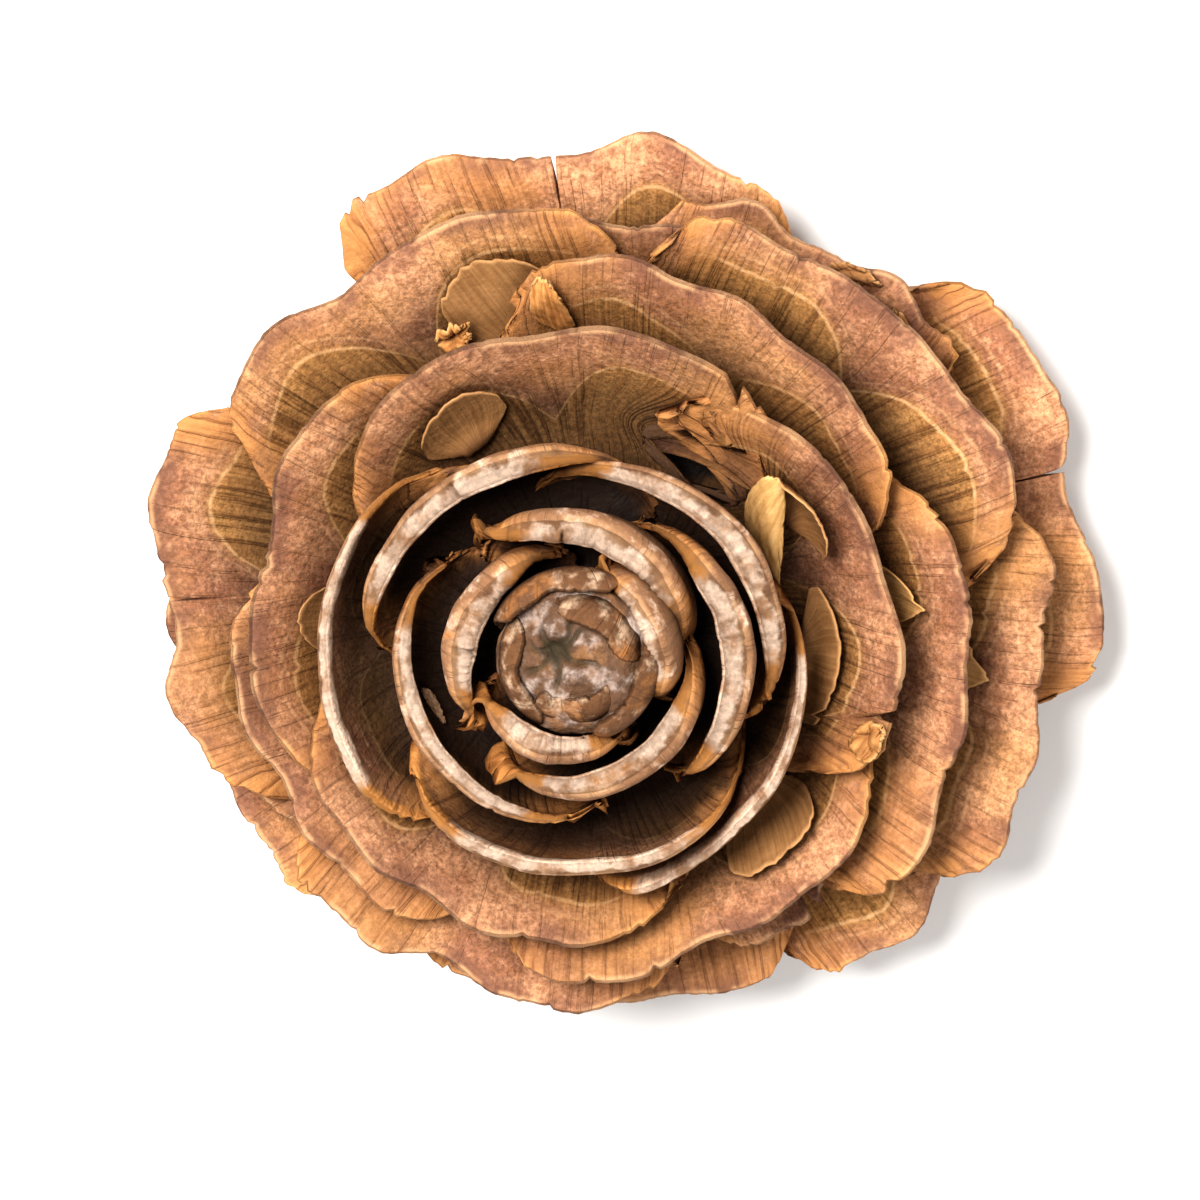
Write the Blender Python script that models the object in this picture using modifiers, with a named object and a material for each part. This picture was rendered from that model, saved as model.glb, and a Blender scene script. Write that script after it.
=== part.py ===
"""Cedar rose: the open tip of a deodar cone, broken off and lying on the end of its woody spindle.

Units are metres, +Z is up, and the origin is the middle of the spindle's broken end.
The scales are numbered outwards from the bud. Each grows a golden angle further round the
spindle than the one before, reaches further out and ends lower down.
"""

import math
import random
from collections import namedtuple

import bmesh
import bpy
from mathutils import Vector

MM = 0.001
SEED = 7

# The growth rule
GOLDEN_ANGLE = math.radians(137.5)
FIRST_AZIMUTH = math.radians(245)
TOP_LIFT = 35.2 * MM        # height of the first scale's rim
LIFT_STEP = 0.79 * MM       # each rim ends this much lower than the one before
TOP_ROOT = 26.0 * MM        # height at which the first scale leaves the spindle
ROOT_STEP = 0.68 * MM
TIP_COUNT = 5               # tiny scales that close over the tip of the bud

# The spindle, as half of its outline from the broken end up
SPINDLE_OUTLINE = (
    (5.2 * MM, 0.0),
    (5.9 * MM, 0.9 * MM),
    (5.4 * MM, 6.0 * MM),
    (4.6 * MM, 16.0 * MM),
    (3.8 * MM, 25.0 * MM),
)
SPINDLE_STEPS = 14
BUD_OUTLINE = (
    (4.7 * MM, 28.4 * MM),
    (6.0 * MM, 31.4 * MM),
    (5.7 * MM, 33.4 * MM),
    (3.9 * MM, 35.0 * MM),
    (1.7 * MM, 35.6 * MM),
    (0.7 * MM, 34.6 * MM),
)
BUD_PIT = 34.1 * MM         # bottom of the small hollow at the very tip
ROOT_SUNK = 2.0 * MM        # how deep a scale's claw is sunk in the spindle

# Every scale
CLAW_HALF_WIDTH = 2.3 * MM
CLAW_THICKNESS = 1.9 * MM
BLADE_THICKNESS = 0.95 * MM
CORNER_POWER = 4.5          # how square the rim's corners are
FLOOR_GAP = 0.5 * MM        # the lowest scale backs clear the resting plane by this
CORNER_CUT = 0.09           # how much is rounded off the very corners, as a share of its reach
DIP_WIDTH = 0.34            # of the hollow in the middle of a rim, where its two lobes meet

# Winged seeds, still lying on the scale that bore them
SEED_GAP = 0.62 * MM
WING_THICKNESS = 0.62 * MM
SEED_THICKNESS = 1.3 * MM

Scale = namedtuple("Scale", "turn_off reach skew half_width")
# turn_off: degrees off the golden angle. reach: the rim's distance from the axis. skew: how
# much further out the anticlockwise end of the rim lies. Sizes in millimetres.
SCALES = (
    Scale(5, 7.4, -0.6, 6.8),
    Scale(0, 7.2, 0.0, 7.0),
    Scale(5, 9.4, 0.8, 9.0),
    Scale(-5, 10.4, -1.2, 11.4),
    Scale(2, 10.2, 1.9, 11.6),
    Scale(0, 14.3, 0.0, 14.4),
    Scale(8, 12.4, -1.0, 12.6),
    Scale(8, 16.0, 1.4, 14.4),
    Scale(0, 17.7, -0.9, 15.6),
    Scale(-4, 14.2, -0.8, 15.8),
    Scale(7, 20.3, 1.1, 16.0),
    Scale(-4, 18.0, -2.4, 16.4),
    Scale(7, 23.6, 0.1, 20.0),
    Scale(8, 24.4, -0.4, 17.6),
    Scale(7, 22.9, -1.6, 18.0),
    Scale(23, 26.4, -0.5, 18.6),
    Scale(7, 26.5, -1.4, 18.4),
    Scale(3, 27.7, 1.6, 18.4),
    Scale(9, 28.4, -0.3, 17.0),
    Scale(10, 29.3, -1.7, 18.0),
    Scale(9, 33.0, 0.5, 18.2),
    Scale(-4, 31.2, -0.7, 17.0),
    Scale(14, 33.4, -0.8, 20.0),
    Scale(12, 35.0, -1.9, 16.4),
    Scale(8, 28.0, -1.0, 12.0),
    Scale(-5, 30.8, 0.4, 17.0),
    Scale(3, 30.6, 0.0, 16.4),
    Scale(-9, 35.0, -0.9, 16.0),
    Scale(0, 31.2, 0.0, 17.0),
    Scale(-3, 32.3, -0.2, 15.6),
    Scale(9, 33.4, -0.8, 13.4),
    Scale(13, 34.6, -0.2, 16.4),
    Scale(-3, 34.9, -0.2, 14.6),
    Scale(-5, 36.2, 1.0, 18.4),
    Scale(0, 30.0, 0.0, 16.0),
    Scale(-2, 37.9, 0.0, 18.4),
)
LAST = len(SCALES) - 1

WingedSeed = namedtuple("WingedSeed", "host across start end spread lift")
# host: the scale it lies on. across: where on it, +1 at the anticlockwise margin. start, end:
# along the scale. spread: its half width as a share of the scale's. lift: how far in
# millimetres the wing's end stands off the scale.
WINGED_SEEDS = (
    WingedSeed(14, 0.30, 0.70, 1.00, 0.26, 3.0),
    WingedSeed(14, -0.45, 0.60, 0.80, 0.34, 0.4),
    WingedSeed(19, 0.45, 0.66, 0.92, 0.16, 1.0),
    WingedSeed(27, 0.10, 0.42, 0.90, 0.28, 0.6),
    WingedSeed(16, 0.40, 0.60, 0.92, 0.24, 1.0),
    WingedSeed(20, -0.45, 0.60, 0.92, 0.30, 0.8),
    WingedSeed(12, 0.38, 0.60, 0.90, 0.22, 0.8),
    WingedSeed(15, 0.20, 0.60, 0.90, 0.16, 0.8),
)


def between(value, knots):
    """The value read off a line of knots ((x, y), ...), straight between each pair."""
    if value <= knots[0][0]:
        return knots[0][1]
    for (x0, y0), (x1, y1) in zip(knots, knots[1:]):
        if value <= x1:
            share = (value - x0) / (x1 - x0)
            return y0 + (y1 - y0) * share
    return knots[-1][1]


# Slopes of a scale where it leaves the spindle and at its rim, in degrees above level, and
# the thickness of its rim, each by the scale's number
ROOT_SLOPE = ((0, 30), (5, 4), (12, -4), (20, -6), (LAST, -13))
RIM_SLOPE = ((0, 108), (3, 98), (11, 84), (12, 56), (16, 44), (22, 26), (30, 17), (LAST, 15))
RIM_THICKNESS = (
    (-TIP_COUNT, 0.9 * MM), (-1, 1.2 * MM), (0, 2.1 * MM), (1, 1.7 * MM), (2, 2.4 * MM),
    (4, 2.4 * MM), (5, 1.6 * MM), (6, 2.3 * MM), (7, 2.1 * MM), (8, 1.3 * MM), (9, 2.0 * MM),
    (10, 1.1 * MM), (12, 0.9 * MM), (LAST, 0.8 * MM),
)
CORNER_DROP = ((0, 0.30), (11, 0.26), (13, 0.12), (20, 0.05), (LAST, 0.02))
MID_DIP = ((0, 0.0), (11, 0.01), (14, 0.03), (LAST, 0.045))
FULLNESS = ((0, 0.50), (10, 0.52), (13, 0.42), (LAST, 0.38))


def clear_scene():
    for obj in list(bpy.data.objects):
        bpy.data.objects.remove(obj)


def material(name, colour, roughness):
    made = bpy.data.materials.new(name)
    made.use_nodes = True
    shader = made.node_tree.nodes["Principled BSDF"]
    shader.inputs["Base Color"].default_value = (*colour, 1)
    shader.inputs["Roughness"].default_value = roughness
    return made


def bezier(points, share):
    """A point on the cubic through four control points, straight beyond its ends."""
    a, b, c, d = points
    held = min(max(share, 0.0), 1.0)
    r = 1 - held
    place = a * r**3 + b * (3 * r * r * held) + c * (3 * r * held * held) + d * held**3
    if share > 1:
        place = place + (d - c).normalized() * ((share - 1) * (d - a).length)
    return place


class Blade:
    """One scale as a surface: along runs 0 at the claw to 1 at the rim, across -1 to 1."""

    def __init__(self, azimuth, root, rim, root_slope, rim_slope, half_width, skew, number):
        self.azimuth, self.half_width, self.skew = azimuth, half_width, skew
        self.number = number
        chord = (rim - root).length
        out = Vector((math.cos(root_slope), math.sin(root_slope)))
        end = Vector((math.cos(rim_slope), math.sin(rim_slope)))
        hold = between(number, FULLNESS)
        self.line = (root, root + out * chord * hold, rim - end * chord * hold, rim)
        draw = random.Random(SEED + 31 * number)
        self.waves = [
            (draw.uniform(0.10, 0.34) * MM, rate, draw.uniform(0, math.tau))
            for rate in (2.2, 4.1, 6.3)
        ]
        self.ragged = [
            (draw.uniform(0.004, 0.014), rate, draw.uniform(0, math.tau))
            for rate in (5.0, 8.5, 13.0)
        ]

    def rim_share(self, across):
        """How far out the rim lies at this place across, as a share of the middle line."""
        drop = between(self.number, CORNER_DROP) * abs(across) ** CORNER_POWER
        drop += CORNER_CUT * abs(across) ** 24
        dip = between(self.number, MID_DIP) * math.exp(-((across / DIP_WIDTH) ** 2))
        rough = sum(size * math.sin(rate * across + turn) for size, rate, turn in self.ragged)
        return 1 - drop - dip + rough

    def middle(self, along, across):
        """A point of the sheet halfway through the scale's thickness."""
        share = along * self.rim_share(across)
        out, up = bezier(self.line, share)
        widening = math.sin(0.5 * math.pi * along**0.95)
        narrow = min(CLAW_HALF_WIDTH, 0.4 * self.half_width)
        side = across * (narrow + (self.half_width - narrow) * widening)
        out += self.skew * across * along**2
        turn = side / max(out, 3 * MM)
        angle = self.azimuth + turn
        fade = along**2
        up += fade * sum(size * math.sin(rate * across + t) for size, rate, t in self.waves)
        return Vector((out * math.cos(angle), out * math.sin(angle), up))

    def inward(self, along, across):
        """The unit normal on the side that faces the bud."""
        step = 0.01
        low, high = max(along - step, 0.0), min(along + step, 1.0)
        lengthways = self.middle(high, across) - self.middle(low, across)
        sideways = self.middle(along, across + step) - self.middle(along, across - step)
        return lengthways.cross(sideways).normalized()

    def thickness(self, along, across):
        rim = between(self.number, RIM_THICKNESS)
        knots = ((0, CLAW_THICKNESS), (0.25, BLADE_THICKNESS), (0.8, BLADE_THICKNESS), (1, rim))
        edge = 1 - 0.25 * abs(across) ** 3
        return max(between(along, knots) * edge, 0.62 * MM)


def blade_of(number):
    """The Blade for a numbered scale, by the growth rule and its own row."""
    row = SCALES[number]
    azimuth = FIRST_AZIMUTH + GOLDEN_ANGLE * number + math.radians(row.turn_off)
    root_height = TOP_ROOT - ROOT_STEP * number
    core = between(root_height, tuple((z, r) for r, z in SPINDLE_OUTLINE))
    root = Vector((core - ROOT_SUNK, root_height))
    rim = Vector((row.reach * MM, TOP_LIFT - LIFT_STEP * number))
    slopes = (math.radians(between(number, knots)) for knots in (ROOT_SLOPE, RIM_SLOPE))
    return Blade(azimuth, root, rim, *slopes, row.half_width * MM, row.skew * MM, number)


def tip_blade(index):
    """One of the tiny scales that close over the tip, counted inwards from the first scale."""
    azimuth = FIRST_AZIMUTH - GOLDEN_ANGLE * (index + 1)
    share = 1 - index / TIP_COUNT
    root = Vector((3.0 * MM, (27.2 + 0.5 * index) * MM))
    rim = Vector(((1.5 + 3.1 * share) * MM, (35.9 - 0.9 * share) * MM))
    slopes = (math.radians(56), math.radians(138 + 25 * (1 - share)))
    return Blade(azimuth, root, rim, *slopes, (3.0 + 2.4 * share) * MM, 0.0, -1 - index)


def shell(name, place, thickness, rows, columns):
    """A closed blade: place(i, j) gives (point, normal), and thickness(i, j) its thickness."""
    mesh = bmesh.new()
    faces = []
    for side in (0.5, -0.5):
        grid = []
        for i in range(rows + 1):
            line = []
            for j in range(columns + 1):
                point, normal = place(i / rows, 2 * j / columns - 1)
                offset = normal * thickness(i / rows, 2 * j / columns - 1) * side
                line.append(mesh.verts.new(point + offset))
            grid.append(line)
        faces.append(grid)
    upper, lower = faces
    for i in range(rows):
        for j in range(columns):
            for grid in (upper, lower):
                a, b = grid[i][j], grid[i][j + 1]
                c, d = grid[i + 1][j + 1], grid[i + 1][j]
                mesh.faces.new((a, b, c))
                mesh.faces.new((a, c, d))
    top_edge = border(upper)
    low_edge = border(lower)
    for k in range(len(top_edge)):
        nearby = (k + 1) % len(top_edge)
        mesh.faces.new((top_edge[k], top_edge[nearby], low_edge[nearby], low_edge[k]))
    bmesh.ops.triangulate(mesh, faces=[f for f in mesh.faces if len(f.verts) > 3])
    bmesh.ops.recalc_face_normals(mesh, faces=mesh.faces)
    data = bpy.data.meshes.new(name)
    mesh.to_mesh(data)
    mesh.free()
    return bpy.data.objects.new(name, data)


def border(grid):
    """The outer ring of a grid of vertices, in order."""
    ring = list(grid[0])
    ring += [line[-1] for line in grid[1:]]
    ring += list(reversed(grid[-1][:-1]))
    ring += [line[0] for line in reversed(grid[1:-1])]
    return ring


def blade_object(name, blade, rows, columns):
    """The solid of one scale, lifted where its back would pass below the resting plane."""

    def place(along, across):
        point = blade.middle(along, across)
        low = FLOOR_GAP + 0.5 * blade.thickness(along, across)
        point.z = max(point.z, low)
        return point, blade.inward(along, across)

    return shell(name, place, blade.thickness, rows, columns)


def winged_seed(name, row, blade):
    """A seed and its wing, as one thin blade lying on its host scale with a small gap."""

    def place(along, across):
        rounding = math.sqrt(max(1 - across * across, 0.0))
        reach = row.start + (row.end - row.start) * along * (0.74 + 0.26 * rounding)
        width = row.spread * (0.30 + 0.70 * math.sin(0.5 * math.pi * min(along * 1.3, 1.0)))
        beside = row.across + across * width
        normal = blade.inward(reach, beside)
        under = 0.5 * blade.thickness(reach, beside) + SEED_GAP
        lifted = under + 0.5 * seed_thickness(along, across) + row.lift * MM * along**2
        return blade.middle(reach, beside) + normal * lifted, normal

    return shell(name, place, seed_thickness, 6, 4)


def seed_thickness(along, across):
    body = math.exp(-(((along - 0.10) / 0.16) ** 2)) * (1 - 0.6 * across * across)
    return WING_THICKNESS + (SEED_THICKNESS - WING_THICKNESS) * body


def spindle():
    """The woody spindle, turned from its outline and flat where it broke off."""
    outline = [(0.0, BUD_PIT), *reversed(BUD_OUTLINE), *reversed(SPINDLE_OUTLINE), (0.0, 0.0)]
    data = bpy.data.meshes.new("cone")
    points = [(r, 0.0, z) for r, z in outline]
    edges = [(k, k + 1) for k in range(len(points) - 1)]
    data.from_pydata(points, edges, [])
    made = bpy.data.objects.new("cone", data)
    bpy.context.scene.collection.objects.link(made)
    turned = made.modifiers.new("turned", "SCREW")
    turned.steps = turned.render_steps = SPINDLE_STEPS
    turned.use_merge_vertices = True
    turned.merge_threshold = 0.00001
    return made


def fuse(body, blades):
    """Joins the blades to the body with one union, and fills any hollow that this seals."""
    union = body.modifiers.new("grown_together", "BOOLEAN")
    union.operation = "UNION"
    union.operand_type = "COLLECTION"
    union.collection = blades
    union.solver = "MANIFOLD"
    graph = bpy.context.evaluated_depsgraph_get()
    joined = bpy.data.meshes.new_from_object(body.evaluated_get(graph))
    body.modifiers.clear()
    body.data = joined
    for obj in list(blades.objects):
        bpy.data.objects.remove(obj)
    bpy.data.collections.remove(blades)
    keep_largest(joined)


def keep_largest(data):
    """Removes every shell of the mesh but the one with the most faces."""
    mesh = bmesh.new()
    mesh.from_mesh(data)
    waiting = set(mesh.faces)
    shells = []
    while waiting:
        group, edge = set(), [waiting.pop()]
        while edge:
            face = edge.pop()
            group.add(face)
            beside = {f for e in face.edges for f in e.link_faces} & waiting
            waiting -= beside
            edge.extend(beside)
        shells.append(group)
    shells.sort(key=len)
    for group in shells[:-1]:
        bmesh.ops.delete(mesh, geom=list(group), context="FACES")
    mesh.to_mesh(data)
    mesh.free()


def build_cone():
    """The spindle with every scale grown from it, as one solid."""
    body = spindle()
    blades = bpy.data.collections.new("scales_to_fuse")
    bpy.context.scene.collection.children.link(blades)
    for number in range(len(SCALES)):
        rows, columns = (4, 8) if number < 9 else (5, 8)
        name = f"scale_{number:02d}"
        blades.objects.link(blade_object(name, blade_of(number), rows, columns))
    for index in range(TIP_COUNT):
        blades.objects.link(blade_object(f"tip_{index}", tip_blade(index), 3, 4))
    fuse(body, blades)
    body.data.materials.append(material("cone_brown", (0.25, 0.12, 0.055), 0.7))


def build_seeds():
    tan = material("wing_tan", (0.55, 0.33, 0.14), 0.6)
    for index, row in enumerate(WINGED_SEEDS):
        made = winged_seed(f"winged_seed_{index + 1}", row, blade_of(row.host))
        made.data.materials.append(tan)
        bpy.context.scene.collection.objects.link(made)


clear_scene()
build_cone()
build_seeds()
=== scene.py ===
"""Cedar rose: fine scales, bud, spindle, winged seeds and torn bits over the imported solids.

Lengths are metres unless a name ends in _MM or a comment says otherwise. Scale numbers and the
growth rule are the part's own.
"""

import math
import random

import bpy
import numpy as np
from mathutils import Matrix, Vector


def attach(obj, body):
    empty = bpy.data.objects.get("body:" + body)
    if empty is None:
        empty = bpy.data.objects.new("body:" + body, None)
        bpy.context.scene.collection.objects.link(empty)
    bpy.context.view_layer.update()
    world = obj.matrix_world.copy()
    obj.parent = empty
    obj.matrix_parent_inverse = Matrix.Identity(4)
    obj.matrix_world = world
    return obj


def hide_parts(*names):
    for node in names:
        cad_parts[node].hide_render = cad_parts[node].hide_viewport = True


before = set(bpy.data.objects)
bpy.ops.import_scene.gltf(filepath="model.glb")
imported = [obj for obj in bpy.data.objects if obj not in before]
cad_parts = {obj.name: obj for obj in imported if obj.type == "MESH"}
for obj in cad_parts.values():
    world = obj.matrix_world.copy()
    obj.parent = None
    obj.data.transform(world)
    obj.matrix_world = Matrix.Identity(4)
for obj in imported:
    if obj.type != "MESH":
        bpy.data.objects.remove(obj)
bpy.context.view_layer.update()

MM = 0.001
SEED = 7

# The growth rule, as in the part
GOLDEN_ANGLE = math.radians(137.5)
FIRST_AZIMUTH = math.radians(245)
TOP_LIFT = 35.2 * MM
LIFT_STEP = 0.79 * MM
TOP_ROOT = 26.0 * MM
ROOT_STEP = 0.68 * MM
TIP_COUNT = 5

# Outlines of the spindle and the bud: radius and height in millimetres
SPINDLE_OUTLINE = ((5.2, 0.0), (5.9, 0.9), (5.4, 6.0), (4.6, 16.0), (3.8, 25.0))
BUD_OUTLINE = ((4.6, 28.4), (5.3, 31.4), (5.0, 33.4), (3.6, 35.0), (1.7, 35.6), (0.7, 34.6))
# How much wider the bud is by height, and where its dome begins and is full, in millimetres
BUD_SWELLING = ((28, 1.0), (31, 1.14), (34, 1.16), (35.5, 1.0))
DOME_HEIGHTS = (32.0, 34.2)
# Place of the bud's pit in millimetres, and the furrows from it: direction in degrees and length
BUD_PIT_PLACE = (-1.2, 1.0)
BUD_PIT_RADIUS = 0.80
BUD_PIT_DEPTH = 1.5
BUD_FURROWS = ((-86, 3.4), (-20, 4.4), (38, 3.6), (62, 5.0), (128, 3.0), (172, 3.4), (222, 3.8))
FURROW_DEPTH = 0.60
FURROW_WIDTH = 0.24

# Shape that all scales share
ROOT_SUNK = 2.0 * MM
CLAW_HALF_WIDTH = 2.3 * MM
CLAW_THICK_MM = 1.7
THINNEST_MM = 0.28
CORNER_POWER = 4.5
CORNER_CUT = 0.09
DIP_WIDTH = 0.34
FLOOR_GAP = 0.5 * MM
FULL_HALF_WIDTH = 16 * MM
LOBE_HEIGHT = 0.55 * MM
LOBE_WIDTH = 0.30
RIM_WAVE = 0.22 * MM
CURL_HEIGHT = 1.1 * MM
WORN_MM = 0.05
TEETH_MM = 0.9
MARGIN_WAVE = 0.040
MARGIN_TEETH = 0.03
LIP_LUMPS = 0.34

# Relief on a scale's inner face: the line around a print, the print's own depth, and the rest
LINE_HEIGHT = 0.07 * MM
PRINT_DEPTH = 0.12 * MM
FACE_RELIEF = 0.05 * MM

# Turn off the golden angle in degrees; reach, skew and half width in millimetres
SCALES = (
    (5, 7.4, -0.6, 6.8), (0, 7.2, 0.0, 7.0), (5, 9.4, 0.8, 9.0), (-5, 10.4, -1.2, 11.4),
    (2, 10.2, 1.9, 11.6), (0, 14.3, 0.0, 14.4), (8, 12.4, -1.0, 12.6), (8, 16.0, 1.4, 14.4),
    (0, 17.7, -0.9, 15.6), (-4, 14.2, -0.8, 15.8), (7, 20.3, 1.1, 16.0), (-4, 18.0, -2.4, 16.4),
    (7, 23.6, 0.1, 20.0), (8, 24.4, -0.4, 17.6), (7, 22.9, -1.6, 18.0), (23, 26.4, -0.5, 18.6),
    (7, 26.5, -1.4, 18.4), (3, 27.7, 1.6, 18.4), (9, 28.4, -0.3, 17.0), (10, 29.3, -1.7, 18.0),
    (9, 33.0, 0.5, 18.2), (-4, 31.2, -0.7, 17.0), (14, 33.4, -0.8, 20.0), (12, 35.0, -1.9, 16.4),
    (8, 28.0, -1.0, 12.0), (-5, 30.8, 0.4, 17.0), (3, 30.6, 0.0, 16.4), (-9, 35.0, -0.9, 16.0),
    (0, 31.2, 0.0, 17.0), (-3, 32.3, -0.2, 15.6), (9, 33.4, -0.8, 13.4), (13, 34.6, -0.2, 16.4),
    (-3, 34.9, -0.2, 14.6), (-5, 36.2, 1.0, 18.4), (0, 30.0, 0.0, 16.0), (-2, 37.9, 0.0, 18.4),
)
LAST = len(SCALES) - 1
ROOT_SLOPE = ((0, 30), (5, 4), (12, -4), (20, -6), (LAST, -13))
RIM_SLOPE = ((0, 108), (3, 98), (11, 84), (12, 56), (16, 44), (22, 26), (30, 17), (LAST, 15))
CORNER_DROP = ((0, 0.30), (11, 0.26), (13, 0.12), (20, 0.05), (LAST, 0.02))
MID_DIP = ((0, 0.0), (11, 0.01), (14, 0.03), (LAST, 0.045))
FULLNESS = ((0, 0.50), (10, 0.52), (13, 0.42), (LAST, 0.38))

# Thickness in millimetres by scale number: of the blade, and of the lip along its rim
BLADE_THICK_MM = ((-TIP_COUNT, 0.6), (-1, 0.6), (0, 0.9), (12, 0.65), (LAST, 0.65))
LIP_THICK_MM = (
    (-TIP_COUNT, 0.6), (-1, 0.7), (0, 2.2), (1, 1.6), (2, 2.6), (3, 2.3), (4, 2.6), (5, 1.5), (6, 2.4),
    (7, 2.2), (8, 1.2), (9, 2.2), (10, 0.95), (11, 0.85), (12, 0.6), (LAST, 0.55),
)
# How far the lip reaches down from the rim, and how far the rim rolls: below 0 towards the bud
LIP_DEPTH_MM = ((-1, 1.6), (6, 1.9), (12, 1.2), (LAST, 1.0))
ROLL_MM = ((-1, 0.0), (0, -0.9), (4, -1.1), (7, -0.35), (9, -0.1), (12, 0.6), (LAST, 0.5))
ROLL_DEPTH_MM = ((0, 4.5), (8, 3.5), (12, 2.8))

# How pale each scale's wood is: the cup is darkest, the outermost scales are sun-bleached
PALENESS = (
    (-TIP_COUNT, 0.75), (0, 0.75), (7, 0.66), (11, 0.74), (12, 0.98), (22, 1.02), (30, 1.16), (LAST, 1.20),
)
# Where torn tissue begins across a scale, how far resin covers its lip, and how much painted shade blackens
# it far in from the rim
TORN_FROM = ((0, 0.40), (9, 0.50), (12, 0.62))
RESIN_COVER = ((-1, 0.9), (7, 1.0), (9, 0.9), (10, 0.5), (11, 0.8), (12, 0.0))
CUP_SHADE = ((0, 1.0), (7, 0.95), (11, 0.6), (12, 0.0))

# Splits in a rim: scale, place across, depth as a share of the reach, half width across
SPLITS = {
    33: ((0.02, 0.10, 0.006),),
    35: ((0.03, 0.09, 0.006),),
    23: ((0.0, 0.05, 0.006),),
    12: ((-0.80, 0.10, 0.030),),
    14: ((-0.72, 0.06, 0.020),),
    24: ((-0.3, 0.10, 0.05), (0.25, 0.07, 0.03)),
}

# Pieces torn out of a side margin: side, place along, depth as a share of the half width, width along
BITES = {
    12: ((-1, 0.58, 0.62, 0.13),),
    14: ((1, 0.63, 0.60, 0.17),),
    24: ((1, 0.80, 0.15, 0.08),),
}

# Winged seeds: host scale, place across, start and end along, spread, lift in millimetres,
# how pointed the outline is and how pale the paper is
WINGED_SEEDS = (
    (14, 0.30, 0.70, 1.00, 0.26, 2.0, 0.3, 0.1),
    (14, -0.45, 0.60, 0.80, 0.34, 0.4, 0.0, 0.15),
    (19, 0.45, 0.66, 0.92, 0.16, 1.0, 0.6, 0.8),
    (27, 0.10, 0.42, 0.90, 0.28, 0.6, 0.4, 0.5),
    (16, 0.40, 0.60, 0.92, 0.24, 1.0, 0.0, 0.1),
    (20, -0.45, 0.60, 0.92, 0.30, 0.7, 0.2, 0.1),
    (12, 0.38, 0.60, 0.90, 0.22, 0.5, 0.3, 0.1),
    (15, 0.20, 0.60, 0.90, 0.16, 0.8, 0.2, 0.1),
)

# Torn bits of scale: four corners and a bow in millimetres, raggedness, paleness (below 0 is grey)
# and the height of the crumpling in millimetres
TORN_BITS = (
    (((-4.8, 28.0, 22.3), (-5.3, 23.1, 18.6), (-1.2, 22.0, 17.5), (-2.9, 26.7, 21.9)), 0.5, 0.25, 0.9, 0.1),
    (((-13.4, 22.2, 16.6), (-12.5, 20.6, 15.9), (-9.2, 21.7, 16.3), (-10.7, 23.9, 18.2)), 0.9, 0.8, 0.9, 0.6),
    (((14.8, 14.7, 26.4), (10.7, 9.3, 19.3), (14.0, 0.4, 17.8), (14.9, 8.1, 21.8)), 0.9, 0.1, 1.0, 0.1),
    (((19.2, -8.8, 22.0), (21.0, -5.9, 23.3), (23.5, -6.3, 24.6), (21.8, -10.3, 23.7)), 0.5, 0.9, 0.55, 0.4),
    (((-12.9, -3.6, 27.2), (-11.9, -5.4, 26.8), (-10.5, -7.3, 26.4), (-11.8, -4.0, 26.8)),
     0.2, 0.4, -1.0, 0.05),
    (((16.3, 27.1, 10.6), (18.1, 25.7, 11.3), (22.3, 25.0, 12.4), (19.2, 27.2, 11.9)), 0.2, 0.8, 0.15, 0.2),
    (((21.0, 24.1, 11.7), (24.1, 17.0, 9.7), (25.7, 17.2, 10.5), (23.0, 23.8, 12.4)), 0.4, 0.5, 0.45, 0.15),
    (((-25.0, -5.8, 19.4), (-22.5, -12.6, 18.8), (-21.1, -12.3, 18.5), (-23.6, -6.0, 19.1)),
     0.2, 0.8, 0.8, 0.15),
)
BIT_HALF_THICK = 0.14 * MM

# Winged seeds: gap to the host, thickness of the paper, and what the seed itself adds to it
SEED_GAP = 0.62 * MM
WING_THICK_MM = 0.26
SEED_THICK_MM = 0.7

# Painted shadow: a black patch on the faces in the hollow behind the torn end of scale 12; its place in
# millimetres, and how wide it is
HOLLOW_SHADOW_PLACE = (6.6, 12.9, 14.5)
HOLLOW_SHADOW_RADIUS = 3.2

# Steps along and across in the mesh of each kind of piece. The first scales take the cup's.
CUP_SCALES = 9
CUP_GRID, SCALE_GRID, TIP_GRID = (44, 76), (54, 86), (36, 48)
WING_GRID, SPINDLE_GRID = (44, 28), (190, 120)
BIT_STEPS = 31
BORDER_TURNS = 5

# How far the veins' pattern moves on for the outer face, and a place outside any print
OTHER_FACE = 200
OUTSIDE_PRINT = -5

# First number and step, by scale number, of the seeds for each kind of unevenness
RIM_KEYS, MARGIN_KEYS, LUMP_KEYS = (900, 7), (500, 13), (300, 11)

# The camera stands where the photograph's did, as seen from this rose
CAMERA_PLACE = Vector((0.10035, 0.17215, 0.84043))
CAMERA_AIM = Vector((0.0, 0.0015, 0.018))
CAMERA_LENS = 330.0
CAMERA_SENSOR = 36

# Every surface is dull. Scales and wings get painted shade, darker and warmer, where other surfaces are this
# close.
DULL_SHINE = 0.12
SHADE_DISTANCE = 7.0 * MM
SHADE_SAMPLES = 3
SHADE_COLOUR = (0.300, 0.175, 0.085)
WOOD_LIT, PAPER_LIT = (1.310, 1.085, 0.790), (1.250, 1.040, 0.780)

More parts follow.
